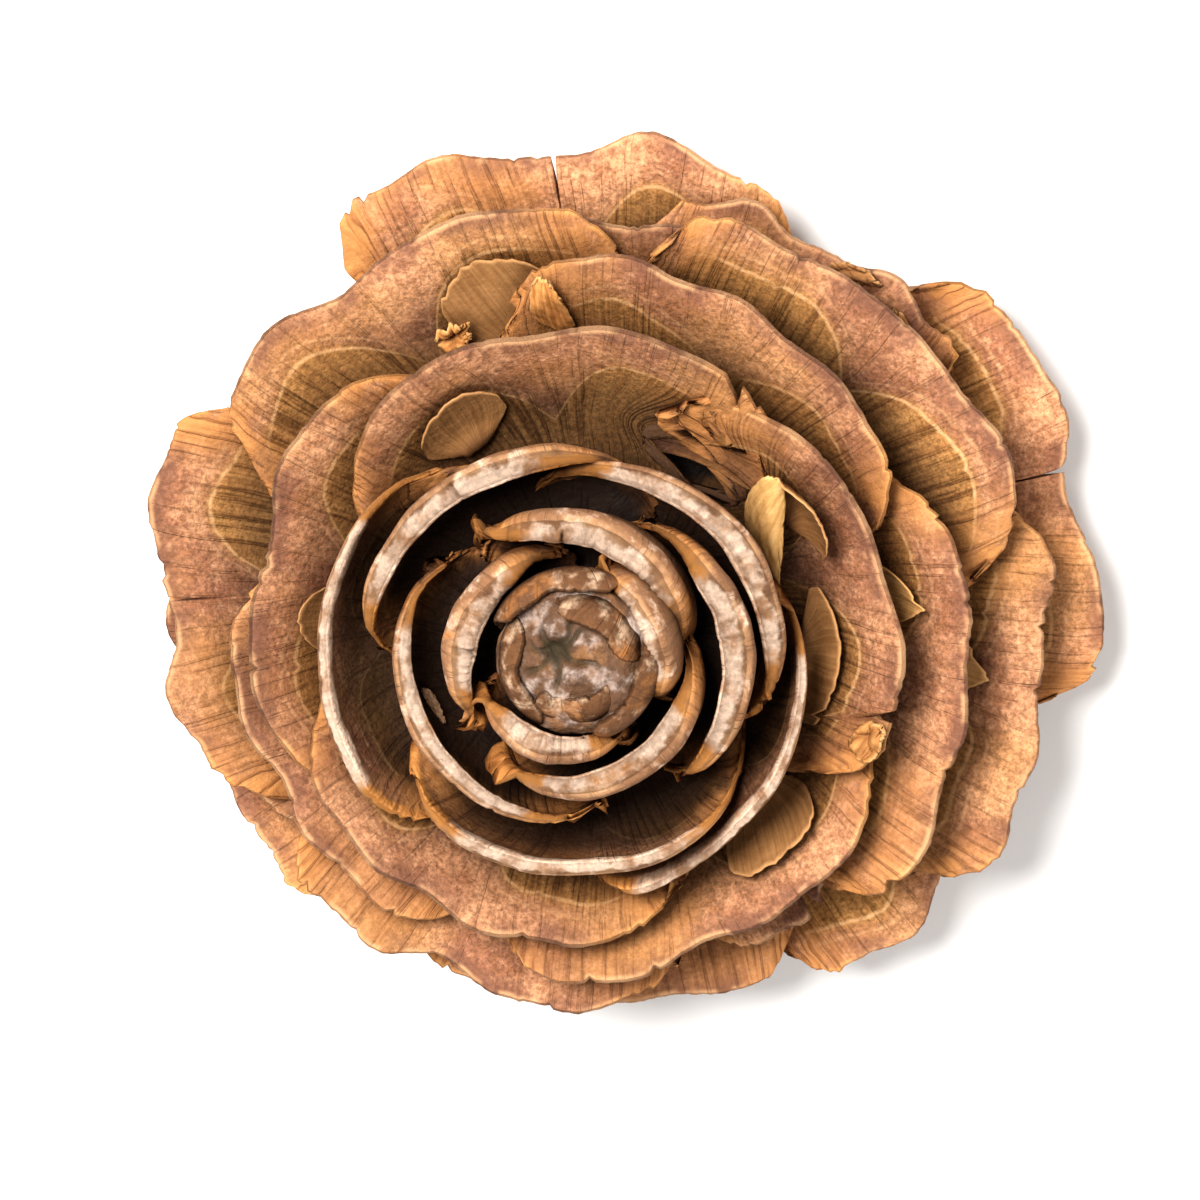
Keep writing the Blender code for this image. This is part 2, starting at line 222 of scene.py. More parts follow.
# Colours of a scale, as linear red, green and blue
SHADE_BLACK, HOLLOW_SHADOW_BLACK = (0.010, 0.004, 0.002), (0.006, 0.003, 0.002)
BARK_BROWN, BARK_DARK = (0.120, 0.058, 0.030), (0.070, 0.036, 0.020)
HAIR_DARK, HAIR_PALE = (0.185, 0.094, 0.036), (0.350, 0.200, 0.086)
VEIN_BROWN, THREAD_BROWN = (0.240, 0.118, 0.048), (0.110, 0.046, 0.017)
PLAIN_DARK, PLAIN_PALE = (0.165, 0.084, 0.030), (0.250, 0.134, 0.050)
BAND_PINK, BAND_DARK, BAND_PALE = (0.370, 0.212, 0.146), (0.185, 0.088, 0.064), (0.450, 0.285, 0.205)
BAND_GRAIN, BAND_HAIR = (0.165, 0.076, 0.040), (0.190, 0.090, 0.046)
BAND_GOLD, PRINT_GOLD = (0.340, 0.200, 0.078), (0.290, 0.170, 0.060)
PRINT_LINE = (0.54, 0.36, 0.22)
BACK_TAN, BACK_EDGE, BACK_DUST = (0.225, 0.116, 0.058), (0.215, 0.120, 0.076), (0.36, 0.25, 0.17)
GLOW_DARK, GLOW_PALE = (0.210, 0.098, 0.034), (0.370, 0.190, 0.078)
WEATHERED = (0.100, 0.050, 0.042)
EDGE_HIGHLIGHT, TORN_FIBRE = (0.44, 0.285, 0.190), (0.62, 0.34, 0.125)
PAPER_DARK, PAPER_BRIGHT, PAPER_THREAD = (0.320, 0.148, 0.058), (0.480, 0.252, 0.108), (0.160, 0.068, 0.024)
RESIN_BROWN, RESIN_WHITE, RESIN_GREY = (0.340, 0.210, 0.145), (0.750, 0.650, 0.660), (0.380, 0.290, 0.270)
AMBER_DARK, AMBER_BRIGHT = (0.330, 0.145, 0.045), (0.560, 0.290, 0.105)

# Colours of the bud and its tiny scales, the spindle, and the papery pieces
TIP_BUD = ((0.110, 0.055, 0.030), (0.420, 0.330, 0.285), (0.250, 0.115, 0.044))
DOME_BUD = (BARK_BROWN, (0.400, 0.300, 0.250), (0.250, 0.112, 0.042))
PIT_SHADE = (0.040, 0.028, 0.014)
SPINDLE_DARK, SPINDLE_PALE = (0.080, 0.036, 0.018), (0.180, 0.092, 0.044)
BROKEN_DARK, BROKEN_PALE = (0.150, 0.082, 0.040), (0.290, 0.185, 0.095)
TAN_DARK, TAN_PALE, TAN_EDGE = (0.185, 0.092, 0.040), (0.355, 0.200, 0.098), (0.430, 0.260, 0.135)
CREAM_DARK, CREAM_PALE, CREAM_EDGE = (0.500, 0.320, 0.130), (0.720, 0.520, 0.260), (0.600, 0.400, 0.190)
ORANGE_DARK, ORANGE_PALE = (0.380, 0.170, 0.052), (0.640, 0.350, 0.140)
GREY_BIT, SPOT_BROWN, SEED_BROWN = (0.400, 0.320, 0.270), (0.175, 0.090, 0.036), (0.105, 0.050, 0.022)

# Lamps: name, place, size, power in watts and colour. Both point at the middle of the rose.
LAMPS = (
    ("key", (-0.20, 0.30, 0.80), 0.40, 15.8, (1.0, 0.98, 0.95)),
    ("fill", (0.50, -0.40, 0.70), 0.60, 3.2, (1.0, 0.98, 0.96)),
)
LAMP_AIM = Vector((0, 0, 0.015))
SKY_COLOUR = (1.0, 0.99, 0.97, 1)
SKY_STRENGTH = 0.50
FLOOR_HALF = 1.6
FLOOR_COLOUR = (0.90, 0.90, 0.90)


def between(value, knots):
    return float(np.interp(value, [k[0] for k in knots], [k[1] for k in knots]))


def keyed(number, keys):
    """The seed for one kind of unevenness on a numbered scale."""
    return keys[0] + keys[1] * (number + 10)


def smooth(value, low, high):
    """0 below low, 1 above high, and an S-shaped step between."""
    share = np.clip((value - low) / (high - low), 0, 1)
    return share * share * (3 - 2 * share)


def ripple(x, seed, rate, octaves=3):
    """Smooth seeded noise of about -1 to 1 along x."""
    draw = np.random.default_rng(seed)
    total = np.zeros_like(x, dtype=float)
    size = 0.0
    for octave in range(octaves):
        weight = 0.55**octave
        for _ in range(2):
            stretch, turn = draw.uniform(0.7, 1.3), draw.uniform(0, math.tau)
            total += weight * np.sin(x * rate * stretch * 1.93**octave + turn)
        size += weight * 1.4
    return total / size


def ripple2(x, y, seed, rate):
    """Smooth seeded noise of about -1 to 1 over a plane."""
    draw = np.random.default_rng(seed)
    total = 0.0
    for _ in range(7):
        angle, stretch, turn = draw.uniform(0, math.tau), draw.uniform(0.6, 1.5), draw.uniform(0, 6)
        total = total + np.sin(rate * stretch * (x * math.cos(angle) + y * math.sin(angle)) + turn)
    return total / 4.0


def chips(x, seed, count, deepest, width):
    """Small nicks at seeded places along x, up to deepest."""
    draw = np.random.default_rng(seed)
    total = np.zeros_like(x, dtype=float)
    for _ in range(count):
        place = draw.uniform(-1, 1)
        depth, half = deepest * draw.uniform(0.2, 1) ** 2, width * draw.uniform(0.6, 2)
        total = np.maximum(total, depth * np.clip(1 - np.abs(x - place) / half, 0, 1))
    return total


class Blade:
    """One scale as a surface: along runs 0 at the claw to 1 at the rim, across -1 to 1."""

    def __init__(self, azimuth, root, rim, root_slope, rim_slope, half_width, skew, number):
        self.azimuth, self.half_width, self.skew, self.number = azimuth, half_width, skew, number
        self.size = min(half_width / FULL_HALF_WIDTH, 1.0) ** 1.5
        root, rim = np.array(root), np.array(rim)
        chord = np.linalg.norm(rim - root)
        out = np.array((math.cos(root_slope), math.sin(root_slope)))
        end = np.array((math.cos(rim_slope), math.sin(rim_slope)))
        hold = between(number, FULLNESS)
        self.line = (root, root + out * chord * hold, rim - end * chord * hold, rim)
        path = self.on_line(np.linspace(0, 1, 60))
        self.length = float(np.linalg.norm(np.diff(path, axis=0), axis=1).sum())
        draw = random.Random(SEED + 31 * number)
        self.waves = [
            (draw.uniform(0.10, 0.34) * MM, rate, draw.uniform(0, math.tau))
            for rate in (2.2, 4.1, 6.3)
        ]
        self.ragged = [
            (draw.uniform(0.004, 0.014), rate, draw.uniform(0, math.tau))
            for rate in (5.0, 8.5, 13.0)
        ]

    def on_line(self, share):
        """Out and up on the scale's middle line, carried straight on past its end."""
        a, b, c, d = self.line
        held = np.clip(share, 0, 1)[..., None]
        r = 1 - held
        place = a * r**3 + b * (3 * r * r * held) + c * (3 * r * held * held) + d * held**3
        beyond = np.clip(share - 1, 0, None)[..., None]
        return place + (d - c) / np.linalg.norm(d - c) * beyond * np.linalg.norm(d - a)

    def rim_share(self, across):
        """How far out the rim lies at this place across, as a share of the middle line."""
        number = self.number
        drop = between(number, CORNER_DROP) * np.abs(across) ** CORNER_POWER
        drop = drop + CORNER_CUT * np.abs(across) ** 24
        dip = between(number, MID_DIP) * np.exp(-((across / DIP_WIDTH) ** 2))
        rough = sum(size * np.sin(rate * across + turn) for size, rate, turn in self.ragged)
        share = 1 - drop - dip + rough
        key = keyed(number, RIM_KEYS)
        worn = WORN_MM * ripple(across, key, 47, 4) - chips(across, key + 2, 9, 0.45, 0.012)
        torn = smooth(np.abs(across), 0.70, 0.97)
        teeth = TEETH_MM * np.abs(ripple(across, key + 1, 120, 3)) + chips(across, key + 3, 14, 1.5, 0.010)
        share = share + (worn - self.size * torn * (teeth - 0.35)) * MM / self.length
        for place, depth, width in SPLITS.get(number, ()):
            share = share - depth * np.clip(1 - np.abs(across - place) / width, 0, 1) ** 0.7
        return share

    def middle(self, along, across):
        """Points of the sheet halfway through the scale's thickness."""
        share = along * self.rim_share(across)
        place = self.on_line(share)
        out, up = place[..., 0], place[..., 1]
        widening = np.sin(0.5 * math.pi * along**0.95)
        narrow = min(CLAW_HALF_WIDTH, 0.4 * self.half_width)
        key = keyed(self.number, MARGIN_KEYS)
        edge = np.abs(across) ** 8
        on_margin = along + np.sign(across)
        margin = 1 + edge * along * (MARGIN_WAVE * ripple(on_margin, key, 16, 3) - 0.02)
        teeth = np.abs(ripple(on_margin, key + 6, 70, 3))
        margin = margin - edge * smooth(along, 0.4, 0.7) * MARGIN_TEETH * teeth
        bitten = 0.0
        for side_of, place, depth, width in BITES.get(self.number, ()):
            bitten = depth * np.exp(-(((along - place) / width) ** 2)) * np.clip(across * side_of, 0, 1)
            margin = margin - bitten
        side = across * margin * (narrow + (self.half_width - narrow) * widening)
        out = out + self.skew * across * along**2
        angle = self.azimuth + side / np.maximum(out, 3 * MM)
        fade = along**2
        up = up + fade * sum(size * np.sin(rate * across + turn) for size, rate, turn in self.waves)
        up = up + fade * along**2 * RIM_WAVE * min(self.number / 10, 1) * ripple(across, key + 5, 11, 3)
        lobes = 1 - np.exp(-((across / LOBE_WIDTH) ** 2))
        up = up + fade * LOBE_HEIGHT * (lobes * (1 - 0.5 * across**2) - 0.55) * min(self.number / 12, 1)
        curl = smooth(np.abs(across), 0.72, 1.0) * along * (1 - np.clip(4 * bitten, 0, 1)) * self.size
        up = up + curl * CURL_HEIGHT * ripple(along * 0.7 + np.sign(across) * 2, key + 3, 7, 2)
        return np.stack((out * np.cos(angle), out * np.sin(angle), up), axis=-1)

    def inward(self, along, across):
        """The unit normal on the side that faces the bud."""
        step = 0.01
        low, high = np.maximum(along - step, 0.0), np.minimum(along + step, 1.0)
        lengthways = self.middle(high, across) - self.middle(low, across)
        sideways = self.middle(along, across + step) - self.middle(along, across - step)
        normal = np.cross(lengthways, sideways)
        return normal / np.linalg.norm(normal, axis=-1, keepdims=True)

    def thickness(self, along, across):
        """In metres, swollen along the rim of an inner scale and thin at the side margins."""
        number = self.number
        blade = between(number, BLADE_THICK_MM)
        lip = between(number, LIP_THICK_MM) - blade
        claw = (CLAW_THICK_MM - blade) * (1 - smooth(along, 0.0, 0.3))
        from_rim = (1 - along) * self.length / MM
        lip_depth = between(number, LIP_DEPTH_MM)
        swell = 1 - smooth(from_rim, 0.35 * lip_depth, lip_depth * 1.3)
        key = keyed(number, LUMP_KEYS)
        lumps = 1 + LIP_LUMPS * ripple2(across * 2.6, along * 3, key, 2.0)
        lumps = lumps + 0.10 * ripple2(across * 9, along * 9, key + 1, 2.5)
        thick = blade + claw + lip * swell * (1 - np.abs(across) ** 2.0) * lumps
        thick = thick * (1 - 0.45 * smooth(np.abs(across), 0.6, 1.0) * smooth(along, 0.25, 0.6))
        return np.maximum(thick, THINNEST_MM) * MM


def blade_of(number):
    """The Blade for a numbered scale, by the growth rule and its own row."""
    turn_off, reach, skew, half_width = SCALES[number]
    azimuth = FIRST_AZIMUTH + GOLDEN_ANGLE * number + math.radians(turn_off)
    root_height = TOP_ROOT - ROOT_STEP * number
    core = between(root_height / MM, [(z, r) for r, z in SPINDLE_OUTLINE]) * MM
    root = (core - ROOT_SUNK, root_height)
    rim = (reach * MM, TOP_LIFT - LIFT_STEP * number)
    slopes = (math.radians(between(number, knots)) for knots in (ROOT_SLOPE, RIM_SLOPE))
    return Blade(azimuth, root, rim, *slopes, half_width * MM, skew * MM, number)


def tip_blade(index):
    """One of the tiny scales that close over the tip, counted inwards from the first scale."""
    azimuth = FIRST_AZIMUTH - GOLDEN_ANGLE * (index + 1)
    share = 1 - index / TIP_COUNT
    root = (3.0 * MM, (27.2 + 0.5 * index) * MM)
    rim = (1.22 * (1.5 + 3.1 * share) * MM, (35.9 - 1.2 * share) * MM)
    slopes = (math.radians(56), math.radians(138 + 25 * (1 - share)))
    return Blade(azimuth, root, rim, *slopes, (3.6 + 2.6 * share) * MM, 0.0, -1 - index)


def steps_to_edge(count, ends, extra=()):
    """count even steps, with closer ones at the ends that are rounded over, and any extra."""
    steps = np.linspace(0, 1, count + 1)
    fine = [0.0035, 0.011]
    added = [1 - f for f in fine]
    if ends == 2:
        added += fine
    for place in extra:
        added += [place + off for off in (-0.012, -0.004, -0.0015, 0.0, 0.0015, 0.004, 0.012)]
    return np.unique(np.clip(np.concatenate((steps, added)), 0, 1))


def add_field(mesh, label, data):
    """Gives each vertex a number that a material can read."""
    layer = mesh.attributes.new(label, "FLOAT", "POINT")
    layer.data.foreach_set("value", data.astype(np.float32))


def smoothed(mesh):
    mesh.polygons.foreach_set("use_smooth", [True] * len(mesh.polygons))
    mesh.update()
    return mesh


def shell_mesh(name, upper, lower, values, bulge=None, turns=1):
    """A closed shell from two grids of points. values gives each vertex attribute as a pair.

    turns is the number of strips round the border, which swells outwards by the vectors in bulge.
    """
    rows, columns = upper.shape[:2]
    count = rows * columns
    index = np.arange(count).reshape(rows, columns)
    ring = np.concatenate((index[0], index[1:, -1], index[-1, :-1][::-1], index[1:-1, 0][::-1]))
    flat_upper, flat_lower = upper.reshape(-1, 3), lower.reshape(-1, 3)
    between_rings = []
    for turn in range(1, turns):
        share = turn / turns
        swell = bulge.reshape(-1, 3)[ring] * math.sqrt(1 - (2 * share - 1) ** 2)
        between_rings.append(flat_upper[ring] * (1 - share) + flat_lower[ring] * share + swell)
    points = np.concatenate((flat_upper, flat_lower, *between_rings))
    a, b, c, d = index[:-1, :-1], index[:-1, 1:], index[1:, 1:], index[1:, :-1]
    top = np.stack((a, b, c, d), axis=-1).reshape(-1, 4)
    low = np.stack((d, c, b, a), axis=-1).reshape(-1, 4) + count
    added = [2 * count + turn * len(ring) + np.arange(len(ring)) for turn in range(turns - 1)]
    strips = [ring, *added, ring + count]
    sides = [np.stack((np.roll(a, -1), a, b, np.roll(b, -1)), axis=-1) for a, b in zip(strips, strips[1:])]
    quads = np.concatenate((top, low, *sides))
    mesh = bpy.data.meshes.new(name)
    mesh.from_pydata(points.tolist(), [], quads.tolist())
    for label, (on_upper, on_lower) in values.items():
        high, low = on_upper.ravel(), on_lower.ravel()
        border = [
            high[ring] * (1 - turn / turns) + low[ring] * turn / turns for turn in range(1, turns)
        ]
        add_field(mesh, label, np.concatenate((high, low, *border)))
    return smoothed(mesh)


def put(name, mesh, material, node):
    """Makes a piece that rides on the root body and stands for a CAD node."""
    mesh.materials.append(material)
    piece = bpy.data.objects.new(name, mesh)
    bpy.context.scene.collection.objects.link(piece)
    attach(piece, "root")
    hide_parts(node)
    return piece


def imprint(across, rim_mm, number):
    """Millimetres inside the pale line around a seed wing's print, negative outside it."""
    side = np.abs(across)
    key = 40 + 3 * number
    inset = 3.1 + 0.8 * math.sin(key) + 0.22 * ripple(across, key, 4, 2)
    inset = inset + (6.5 + 2 * math.sin(key * 1.7)) * np.exp(-((side / 0.16) ** 1.3))
    inset = inset + 1.8 * side**4 + 14 * np.clip(side - 0.84, 0, None) / 0.16
    return rim_mm - inset


def scale_piece(name, blade, material, rows, columns):
    """One scale with its two faces, rounded edges and the fields its material reads."""
    splits = [0.5 + 0.5 * place for place, _, _ in SPLITS.get(blade.number, ())]
    down = steps_to_edge(rows, 1)
    wide = steps_to_edge(columns, 2, splits) * 2 - 1
    along, across = np.meshgrid(down, wide, indexing="ij")
    middle = blade.middle(along, across)
    normal = blade.inward(along, across)
    thick = blade.thickness(along, across)
    rim_mm = (1 - along) * blade.length * blade.rim_share(across) / MM
    width_mm = (blade.half_width * np.sin(0.5 * math.pi * np.clip(along, 0.08, 1))) / MM
    side_mm = (1 - np.abs(across)) * width_mm
    edge = np.minimum(rim_mm, side_mm)
    rounded = 1 - 0.30 * (1 - np.clip(edge / 0.30, 0, 1)) ** 2
    half = normal * (0.5 * thick * rounded)[..., None]
    middle[..., 2] = np.maximum(middle[..., 2], FLOOR_GAP + 0.5 * thick)
    inside = imprint(across, rim_mm, blade.number)
    relief = LINE_HEIGHT * np.exp(-((inside / 0.30) ** 2)) - PRINT_DEPTH * smooth(inside, 0.0, 3.0)
    relief = relief + FACE_RELIEF * ripple2(across * 9, along * 8, 60 + blade.number, 2.4)
    relief = relief * smooth(edge, 0.2, 0.9) * (1 if blade.number >= 5 else 0.4)
    roll = np.clip(1 - rim_mm / between(blade.number, ROLL_DEPTH_MM), 0, 1) ** 2
    roll = between(blade.number, ROLL_MM) * MM * roll
    middle = middle - normal * roll[..., None]
    vein = (across - 0.22 * along**2 * np.tanh(across / 0.40)) * blade.half_width / MM
    one = np.ones_like(along)
    tone = one * between(blade.number, PALENESS) * (1 + 0.10 * math.sin(blade.number * 12.9898))
    torn = smooth(np.abs(across), between(blade.number, TORN_FROM), 0.99) * smooth(along, 0.35, 0.9)
    deep_shade = between(blade.number, CUP_SHADE) * smooth(rim_mm, 1.0, 4.4)
    fields = {
        "vein": (vein, vein + OTHER_FACE),
        "run": (along * blade.length / MM,) * 2,
        "inside": (inside, one * OUTSIDE_PRINT),
        "rim": (edge,) * 2,
        "torn": (torn,) * 2,
        "lip": ((1 - smooth(rim_mm, 0.15, 1.5)) * between(blade.number, RESIN_COVER),) * 2,
        "face": (one, one * 0),
        "tone": (tone,) * 2,
        "depth": (rim_mm,) * 2,
        "deep_shade": (deep_shade, deep_shade * 0.85),
        "number": (one * blade.number,) * 2,
    }
    upper = middle + half + normal * relief[..., None]
    outwards = np.gradient(middle, axis=0)
    outwards[:-1, 0] = (middle[:, 0] - middle[:, 1])[:-1]
    outwards[:-1, -1] = (middle[:, -1] - middle[:, -2])[:-1]
    outwards = outwards / np.maximum(np.linalg.norm(outwards, axis=-1, keepdims=True), 1e-9)
    outwards[0] *= -1
    uneven = 1 + 0.5 * ripple(across * 3 + along * 5, 88 + blade.number, 25, 2)
    bulge = outwards * (0.16 * thick * uneven)[..., None]
    mesh = shell_mesh(name, upper, middle - half, fields, bulge, BORDER_TURNS)
    return put(name, mesh, material, "cone")


def wing_piece(name, row, material):
    """A seed and its papery wing, lying on its host scale."""
    host, place_across, start, end, spread, lift, point, pale = row
    blade = blade_of(host)
    rows, columns = WING_GRID
    down, wide = steps_to_edge(rows, 1), steps_to_edge(columns, 2) * 2 - 1
    along, across = np.meshgrid(down, wide, indexing="ij")
    key = 7000 + host * 10 + int(place_across * 10)
    rounding = np.sqrt(np.clip(1 - across * across, 0, 1)) * (1 - point)
    rounding = rounding + point * (1 - np.abs(across + 0.25 * point) / (1 + 0.25 * point))
    share = 0.26 + 0.44 * point
    nibbled = 1 + 0.022 * ripple(across, key, 9, 3) + 0.010 * ripple(across, key + 3, 33, 2)
    reach = start + (end - start) * along * (1 - share + share * rounding) * nibbled
    width = spread * (0.30 + 0.70 * np.sin(0.5 * math.pi * np.clip(along * 1.3, 0, 1)))
    beside = place_across + across * width * (1 - 0.35 * point * along)
    normal = blade.inward(reach, beside)
    body = np.exp(-(((along - 0.10) / 0.16) ** 2)) * (1 - 0.6 * across * across)
    thick = (WING_THICK_MM + SEED_THICK_MM * body) * MM
    under = 0.5 * blade.thickness(reach, beside) + 0.20 * SEED_GAP * (1 + 2 * along)
    lifted = under + 0.5 * thick + lift * MM * along**2
    lifted = lifted + 0.12 * MM * along * ripple2(across * 1.6, along * 2.0, key + 1, 1.8)
    lifted = lifted - 0.10 * MM * across**4
    middle = blade.middle(reach, beside) + normal * lifted[..., None]
    size = np.linalg.norm(middle[-1, len(wide) // 2] - middle[0, len(wide) // 2]) / MM
    rim_mm = np.minimum((1 - along) * size, (1 - np.abs(across)) * spread * blade.half_width / MM)
    rounded = 1 - 0.4 * (1 - np.clip(rim_mm / 0.2, 0, 1)) ** 2
    half = normal * (0.5 * thick * rounded)[..., None]
    one = np.ones_like(along)
    fields = {
        "vein": (across * 6 + key % 13,) * 2,
        "run": (along * size,) * 2,
        "rim": (rim_mm,) * 2,
        "seed": (body,) * 2,
        "pale": (one * pale,) * 2,
        "ragged": (one * 0,) * 2,
    }
    mesh = shell_mesh(name, middle + half, middle - half, fields)
    return put(name, mesh, material, name)


def torn_piece(name, row, material):
    """A torn bit of scale tissue: a thin bowed patch between four corners, ragged round its edge."""
    corners, bow, ragged, pale, crumple = row
    a, b, c, d = (np.array(corner) for corner in corners)
    key = 8100 + int(abs(a[0] * 31 + a[1] * 17 + a[2] * 7))
    steps = np.linspace(0, 1, BIT_STEPS)
    v, u = np.meshgrid(steps, steps, indexing="ij")
    rough = 0.20 * ragged
    u_in = np.clip(rough * (0.3 + 0.7 * np.abs(ripple(v, key, 13, 3))), 0, 0.4)
    v_in = np.clip(rough * (0.3 + 0.7 * np.abs(ripple(u, key + 1, 15, 3))), 0, 0.4)
    round_off = 0.16 * (1 - ragged * 0.5)
    u_in = u_in + round_off * (2 * v - 1) ** 4
    v_in = v_in + round_off * (2 * u - 1) ** 4
    s, t = u_in + (1 - 2 * u_in) * u, v_in + (1 - 2 * v_in) * v
    s, t = s[..., None], t[..., None]
    middle = (a * (1 - s) + b * s) * (1 - t) + (d * (1 - s) + c * s) * t
    facing = np.cross(c - a, d - b)
    facing = facing / np.linalg.norm(facing)
    facing = facing * (1 if facing[2] > 0 else -1)
    arch = bow * (4 * s * (1 - s)) * (0.5 + 2 * t * (1 - t))
    dents = crumple * ripple2(u * 6, v * 6, key + 2, 1.6) + 0.06 * ripple2(u * 12, v * 12, key + 3, 2.0)
    middle = (middle + facing * (arch + dents[..., None])) * MM
    normal = np.cross(np.gradient(middle, axis=0), np.gradient(middle, axis=1))
    normal = normal / np.maximum(np.linalg.norm(normal, axis=-1, keepdims=True), 1e-12)
    half = normal * BIT_HALF_THICK
    size = float(np.linalg.norm(c - a))
    edge = np.minimum(np.minimum(v, 1 - v), np.minimum(u, 1 - u)) * size
    one = np.ones_like(u)
    long_way = np.linalg.norm(b - a) > np.linalg.norm(d - a)
    fields = {
        "vein": ((v if long_way else u) * 5 + key % 11,) * 2,
        "run": ((u if long_way else v) * size,) * 2,
        "rim": (edge,) * 2,
        "seed": (one * 0,) * 2,
        "pale": (one * pale,) * 2,
        "ragged": (one * (ragged > 0.2),) * 2,
    }
    mesh = shell_mesh(name, middle - half, middle + half, fields)
    return put(name, mesh, material, "cone")


def spindle_piece(material):
    """The woody spindle and, on top, the lobed dome of the bud with its pit off centre."""
    foot, crown = ((0.0, 0.5), (3.0, 0.3)), (0.0, BUD_OUTLINE[-2][1] + 0.1)
    outline = np.array([*foot, *SPINDLE_OUTLINE, *BUD_OUTLINE[:-1], crown])
    gaps = np.concatenate(([0], np.cumsum(np.linalg.norm(np.diff(outline, axis=0), axis=1))))
    rows, columns = SPINDLE_GRID
    where = np.linspace(0, gaps[-1], rows + 1)[1:-1]
    turn = np.arange(columns) / columns * math.tau
    swollen = np.interp(outline[:, 1], *zip(*BUD_SWELLING))
    out, turn_grid = np.meshgrid(np.interp(where, gaps, outline[:, 0] * swollen), turn, indexing="ij")
    up = np.repeat(np.interp(where, gaps, outline[:, 1])[:, None], columns, axis=1)
    x, y = out * np.cos(turn_grid), out * np.sin(turn_grid)
    bumpy = 0.22 * ripple2(x * 0.8, y * 0.8 + up * 0.45, 77, 1.4) + 0.10 * ripple2(x * 2, y * 2 + up, 79, 1.9)
    out = out + bumpy * np.clip(out / 2, 0, 1)
    broken = smooth(out, 5.2, 4.4) * (up < 0.9)
    up = up + broken * 0.25 * (1 + ripple2(x * 1.3, y * 1.3, 78, 2.2))
    dome = smooth(up, *DOME_HEIGHTS)
    from_pit = (x - BUD_PIT_PLACE[0], y - BUD_PIT_PLACE[1])
    distance = np.hypot(*from_pit)
    furrow = np.zeros_like(x)
    for degrees, length in BUD_FURROWS:
        cos, sin = math.cos(math.radians(degrees)), math.sin(math.radians(degrees))
        along = from_pit[0] * cos + from_pit[1] * sin
        beside = from_pit[1] * cos - from_pit[0] * sin
        beside = beside + 0.22 * np.sin(along * 1.9 + degrees)
        here = np.exp(-((beside / FURROW_WIDTH) ** 2)) * smooth(along, -0.2, 0.4)
        furrow = np.maximum(furrow, here * (1 - smooth(along, length * 0.6, length)))
    hollow = np.exp(-((distance / BUD_PIT_RADIUS) ** 2))
    lumps = 0.22 * ripple2(x * 1.3, y * 1.3, 80, 1.3) + 0.12 * ripple2(x * 3, y * 3, 81, 1.6)
    up = up - dome * (BUD_PIT_DEPTH * hollow + FURROW_DEPTH * furrow * (1 - hollow) - lumps)
    pit = np.clip(dome * (1.25 * hollow + 0.85 * furrow), 0, 1)
    points = np.stack((out * np.cos(turn_grid), out * np.sin(turn_grid), up), axis=-1).reshape(-1, 3)
    points = np.concatenate((points, [[0, 0, 0.5]], [[0, 0, float(up[-1].mean())]])) * MM
    points[:, 2] = np.maximum(points[:, 2], 0.0)
    index = np.arange(len(where) * columns).reshape(len(where), columns)
    beside = np.roll(index, -1, axis=1)
    quads = np.stack((index[:-1], beside[:-1], beside[1:], index[1:]), axis=-1).reshape(-1, 4).tolist()
    low, top = len(points) - 2, len(points) - 1
    quads += [(low, int(b), int(a)) for a, b in zip(index[0], beside[0])]
    quads += [(top, int(a), int(b)) for a, b in zip(index[-1], beside[-1])]
    mesh = bpy.data.meshes.new("spindle")
    mesh.from_pydata(points.tolist(), [], quads)
    add_field(mesh, "pit", np.concatenate((pit.ravel(), [0], [pit[-1].mean()])))
    return put("spindle", smoothed(mesh), material, "cone")


